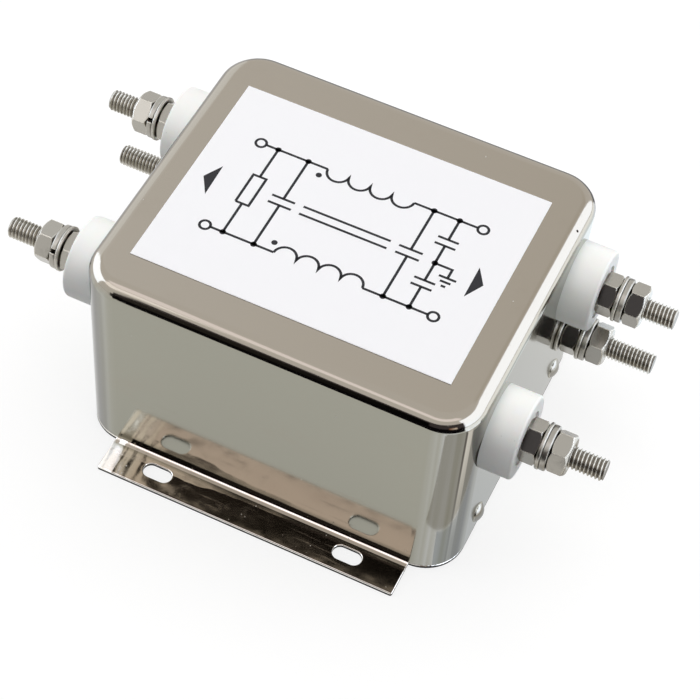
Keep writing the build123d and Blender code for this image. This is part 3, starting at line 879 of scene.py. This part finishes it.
NYLON_DUST = (0.45, 0.44, 0.42)


class FILTER_OT_bushings(bpy.types.Operator):
    """Finish the bushings and insulating rings in white nylon"""
    bl_idname = "line_filter.bushings"
    bl_label = "Finish the bushings"

    def execute(self, context):
        settings = context.scene.filter_bushings
        material, shader, place = new_material(
            "white_nylon", Specular_IOR_Level=0.45, Subsurface_Weight=0.12, Subsurface_Scale=0.004)
        cloud = mask(place, "Smudges", 130.0, 0.7)
        specks = mask(place, "Specks", 900.0, 0.06)
        color = blend(times(cloud, 0.5), settings.nylon_color, tinted(settings.nylon_color, 0.94))
        color = blend(times(specks, 0.25), color, NYLON_DUST)
        tool_marks = grain(place, stretch=(2400.0, 30.0, 30.0))
        feed(shader, Base_Color=color, Roughness=plus(settings.nylon_roughness, times(cloud, 0.08)),
             Normal=bump(tool_marks, 0.000006, 0.5))
        names = [f"{kind}_{spot}" for kind in ("bushing", "insulator") for spot in PLACES]
        dress(names + ["choke_divider"], material)
        return {"FINISHED"}


# ---- Pieces inside the can

def inner_material(name, color, metallic, roughness, scale, stretch=(1.0, 1.0, 1.0), contrast=0.25):
    """Finish of an inner piece: its colour with a grain of its own."""
    material, shader, place = new_material(name, Metallic=metallic)
    value = grain(place, scale, stretch, 3.0, 0.6)
    feed(shader, Base_Color=blend(remap(value, 0.35, 0.65), tinted(color, 1.0 - contrast), color),
         Roughness=remap(value, 0.3, 0.7, roughness + 0.08, roughness - 0.05),
         Normal=bump(value, 0.00001, 0.5))
    return material


class FILTER_OT_inside(bpy.types.Operator):
    """Finish the board and what stands on it inside the closed can"""
    bl_idname = "line_filter.inside"
    bl_label = "Finish the inner pieces"

    def execute(self, context):
        s = context.scene.filter_inside
        dress(["board"], inner_material("board_laminate", s.board_color, 0.0, 0.35, 1800.0, (1.0, 0.1, 1.0)))
        dress([f"link_{place}" for place in PLACES],
              inner_material("bare_copper", s.copper_color, 1.0, 0.3, 700.0, (1.0, 1.0, 0.08)))
        dress(["standoffs"], inner_material("turned_brass", s.brass_color, 1.0, 0.25, 1500.0, (0.2, 0.2, 1.0)))
        dress(["winding_back", "winding_front"],
              inner_material("wire_enamel", s.enamel_color, 0.7, 0.25, 900.0, contrast=0.35))
        dress(["choke_core"], inner_material("core_coating", s.ferrite_color, 0.0, 0.5, 2500.0, contrast=0.4))
        dress([f"x_capacitor_{end}" for end in ENDS], inner_material("box_moulding", s.box_color, 0.0, 0.35, 1200.0))
        dress([f"y_capacitor_{row}" for row in ROWS], inner_material("disc_lacquer", s.disc_color, 0.0, 0.3, 600.0))
        dress(["bleed_resistor"], inner_material("barrel_lacquer", s.barrel_color, 0.0, 0.4, 800.0))
        return {"FINISHED"}


# ---- Stage

# Half the floor's width, and how far it lies below the part
FLOOR_HALF = 3.0
FLOOR_DROP = 0.00005
# The cards that the metal mirrors: the height that they stand round, the degrees from one column of faces to the
# next, their rows of faces, and the least height of a corner
CARD_LEVEL = 0.05
CARD_STEP = 5
CARD_ROWS = 4
CARD_LIFT = 0.0003
# Name, reach in metres, azimuths, heights, brightness at the first azimuth and, if it differs, at the last.
# With no reach the card lies on the floor, and its heights are distances from the middle
CARDS = (
    ("front_dark", 0.18, (-27.5, 62), (-16, 7), (0.006, 0.005, 0.006)),
    ("front_dim", 0.18, (-27.5, 62), (7, 26.5), (0.085, 0.075, 0.08)),
    ("front_taper", 0.18, (-30.5, -27.5), (-12, 17), (0.02, 0.018, 0.02)),
    ("front_tip", 0.18, (-33, -30.5), (-6, 9), (0.05, 0.045, 0.05)),
    ("front_glint", 0.17, (39, 50), (5, 12), (0.3, 0.12, 0.05), (1.3, 1.1, 0.95)),
    ("line_soft", 0.9, (-62, -26), (36, 53), (1.9, 1.9, 1.95)),
    ("front_soft", 0.9, (-75, 80), (55, 71), (1.66, 1.62, 1.70)),
    ("backdrop", 0.9, (-200, -128), (38, 58), (0.84, 0.81, 0.76), (1.1, 1.12, 1.15)),
    ("load_window", 0.9, (64, 152), (0, 50), (2.4, 2.65, 3.1)),
    ("line_sky", 0.9, (-146, -114), (0, 38), (1.3, 1.36, 1.42)),
    ("line_window", 0.9, (-114, -60), (0, 42), (2.6, 2.9, 3.4)),
    ("load_floor", None, (64, 150), (0.14, 0.9), (1.9, 2.0, 2.15)),
    ("load_floor_near", None, (100, 150), (0.085, 0.14), (1.3, 1.4, 1.5)),
    ("load_shade", None, (40, 100), (0.076, 0.14), (0.6, 0.58, 0.54)),
    ("load_apron", None, (48, 130), (0.05, 0.0755), (0.62, 0.65, 0.68), (0.86, 0.86, 0.86)),
    ("back_floor", None, (150, 215), (0.1, 0.32), (0.35, 0.35, 0.37)),
)
# Upright screen: name, ends along X, place on Y and heights in metres, brightness at the first end and at the last
FLANGE_SCREEN = ("flange_dark", (-0.056, 0.038), -0.0951, (0.0595, 0.083), (0.045, 0.04, 0.036), (0.0, 0.0, 0.0))
# Name, place, target, size, which setting holds its brightness, and colour
LAMPS = (
    ("overhead", (0.0, 0.22, 1.15), (0.0, 0.0, 0.03), 1.1, "key_level", (1.0, 0.985, 0.96)),
    ("side", (-0.75, -0.35, 0.32), (-0.06, 0.0, 0.04), 0.5, "side_level", (0.98, 1.0, 1.0)),
    ("window", (0.72, 0.52, 0.26), (0.0, 0.0, 0.05), 0.5, "window_level", (0.96, 0.98, 1.0)),
)


def white_rays(tree):
    """1 for the rays that see the background as white: from the camera, and those that gloss or glass sends on."""
    path = add_node(tree, "ShaderNodeLightPath").outputs
    total = plus(path["Is Camera Ray"], path["Is Glossy Ray"])
    return maths("ADD", total, path["Is Transmission Ray"], clamp=True)


def make_floor(settings):
    """Pale floor that shows white and keeps the shadow."""
    builder = bmesh.new()
    bmesh.ops.create_grid(builder, x_segments=8, y_segments=8, size=FLOOR_HALF)
    bmesh.ops.translate(builder, verts=builder.verts, vec=(0.0, 0.0, -FLOOR_DROP))
    material, shader, place = new_material("floor_paper", Roughness=0.9, Specular_IOR_Level=0.1,
                                           Emission_Color=(1.0, 1.0, 1.0, 1.0))
    paper = blend(noise(place, 30.0, 3.0), settings.floor_color, tinted(settings.floor_color, 0.985))
    feed(shader, Base_Color=paper, Emission_Strength=times(white_rays(shader.id_data), settings.floor_glow))
    floor = new_object(builder, "floor", material)


def make_card(name, reach, azimuths, heights, near, far=None):
    """Card round the filter, from the brightness near to far across it. Angles are in degrees, azimuths from the
    front towards the load end and heights from the horizon."""
    builder = bmesh.new()
    uv = builder.loops.layers.uv.new("across")
    steps = max(2, int(abs(azimuths[1] - azimuths[0]) / CARD_STEP))
    columns = []
    for step in range(steps + 1):
        angle = math.radians(azimuths[0] + (azimuths[1] - azimuths[0]) * step / steps)
        column = []
        for row in range(CARD_ROWS + 1):
            value = heights[0] + (heights[1] - heights[0]) * row / CARD_ROWS
            away = reach * math.cos(math.radians(value)) if reach else value
            level = CARD_LEVEL + reach * math.sin(math.radians(value)) if reach else 0.0
            vert = builder.verts.new((away * math.sin(angle), -away * math.cos(angle), max(CARD_LIFT, level)))
            column.append((vert, (step / steps, row / CARD_ROWS)))
        columns.append(column)
    for left, right in zip(columns, columns[1:]):
        for row in range(CARD_ROWS):
            corners = (left[row], right[row], right[row + 1], left[row + 1])
            face = builder.faces.new([vert for vert, _ in corners])
            for loop, (_, across) in zip(face.loops, corners):
                loop[uv].uv = across
    hang_card(name, builder, near, far or near)


def make_screen(name, ends, place, heights, near, far):
    """Upright card before the filter, so close that only the front flange sees it by way of the can's wall."""
    builder = bmesh.new()
    uv = builder.loops.layers.uv.new("across")
    corners = ((0, 0), (1, 0), (1, 1), (0, 1))
    face = builder.faces.new([builder.verts.new((ends[x], place, heights[z])) for x, z in corners])
    for loop, corner in zip(face.loops, corners):
        loop[uv].uv = corner
    hang_card(name, builder, near, far)


def hang_card(name, builder, near, far):
    """Put a card on the stage, from the brightness near to far across it, for glossy rays alone."""
    material, shader, _ = new_material(f"{name}_cloth", Roughness=1.0, Specular_IOR_Level=0.0,
                                       Base_Color=(0.0, 0.0, 0.0, 1.0), Emission_Strength=1.0)
    across = add_node(shader.id_data, "ShaderNodeUVMap", uv_map="across").outputs["UV"]
    feed(shader, Emission_Color=blend(axes_of(across)["X"], near, far))
    card = new_object(builder, name, material)
    card.visible_camera = card.visible_diffuse = card.visible_shadow = False
    card.visible_transmission = card.visible_volume_scatter = False


def make_lamp(name, place, target, size, level, color):
    """Square soft lamp of this brightness, facing its target."""
    lamp = bpy.data.lights.new(name, "AREA")
    lamp.shape = "SQUARE"
    lamp.size = size
    lamp.energy = level * math.pi * size * size
    lamp.color = color
    holder = bpy.data.objects.new(name, lamp)
    holder.location = place
    holder.rotation_mode = "QUATERNION"
    holder.rotation_quaternion = (Vector(target) - Vector(place)).to_track_quat("-Z", "Y")
    holder.visible_camera = holder.visible_glossy = False
    bpy.context.scene.collection.objects.link(holder)


class FILTER_OT_stage(bpy.types.Operator):
    """Set up the floor, the cards that the metal mirrors, the soft lamps and the camera"""
    bl_idname = "line_filter.stage"
    bl_label = "Set up the stage"

    def execute(self, context):
        settings = context.scene.filter_stage
        scene = context.scene
        scene.view_settings.view_transform = "Standard"

        world = bpy.data.worlds.new("studio")
        scene.world = world
        world.use_nodes = True
        tree = world.node_tree
        toward = axes_of(add_node(tree, "ShaderNodeTexCoord").outputs["Generated"])["Y"]
        soft = times(remap(toward, -0.7, 0.7, 0.5, 1.5), settings.ambient)
        strength = add_node(tree, "ShaderNodeMix", {0: white_rays(tree), 2: soft, 3: 1.0}, data_type="FLOAT").outputs[0]
        tree.links.new(strength, tree.nodes["Background"].inputs["Strength"])
        tree.nodes["Background"].inputs["Color"].default_value = (1.0, 1.0, 1.0, 1.0)

        make_floor(settings)
        for card in CARDS:
            make_card(*card)
        make_screen(*FLANGE_SCREEN)
        for name, place, target, size, level, color in LAMPS:
            make_lamp(name, place, target, size, getattr(settings, level), color)

        camera = bpy.data.cameras.new("camera")
        camera.lens = settings.camera_lens
        camera.sensor_width = 36.0
        camera.clip_start, camera.clip_end = 0.01, 20.0
        holder = bpy.data.objects.new("camera", camera)
        holder.location = settings.camera_place
        holder.rotation_euler = Euler(settings.camera_turn)
        scene.collection.objects.link(holder)
        scene.camera = holder
        return {"FINISHED"}


# ---- Panel and registration

GROUPS = (
    ("filter_can", CanSettings, "Can", ("line_filter.can", "line_filter.plate")),
    ("filter_label", LabelSettings, "Label", ("line_filter.label",)),
    ("filter_hardware", HardwareSettings, "Hardware", ("line_filter.studs", "line_filter.nuts")),
    ("filter_bushings", BushingSettings, "Bushings", ("line_filter.bushings",)),
    ("filter_inside", InsideSettings, "Inside", ("line_filter.inside",)),
    ("filter_stage", StageSettings, "Stage", ("line_filter.stage",)),
)


class FILTER_PT_panel(bpy.types.Panel):
    """Lists the pieces of the line filter with their sizes and colours"""
    bl_idname = "FILTER_PT_panel"
    bl_label = "Line filter"
    bl_space_type = "VIEW_3D"
    bl_region_type = "UI"
    bl_category = "Line filter"

    def draw(self, context):
        for attribute, group, title, operators in GROUPS:
            box = self.layout.box()
            box.label(text=title)
            settings = getattr(context.scene, attribute)
            for name in group.__annotations__:
                box.prop(settings, name)
            for operator in operators:
                box.operator(operator)


CLASSES = (
    CanSettings, LabelSettings, HardwareSettings, BushingSettings, InsideSettings, StageSettings,
    FILTER_OT_can, FILTER_OT_plate, FILTER_OT_label, FILTER_OT_studs, FILTER_OT_nuts, FILTER_OT_bushings,
    FILTER_OT_inside, FILTER_OT_stage, FILTER_PT_panel,
)


def register():
    for item in CLASSES:
        bpy.utils.register_class(item)
    for attribute, group, _title, _operators in GROUPS:
        setattr(bpy.types.Scene, attribute, PointerProperty(type=group))


def unregister():
    for attribute, *_ in GROUPS:
        delattr(bpy.types.Scene, attribute)
    for item in reversed(CLASSES):
        bpy.utils.unregister_class(item)


def main():
    """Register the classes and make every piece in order."""
    register()
    bpy.ops.line_filter.can()
    bpy.ops.line_filter.plate()
    bpy.ops.line_filter.label()
    bpy.ops.line_filter.studs()
    bpy.ops.line_filter.nuts()
    bpy.ops.line_filter.bushings()
    bpy.ops.line_filter.inside()
    bpy.ops.line_filter.stage()


if __name__ == "__main__":
    main()
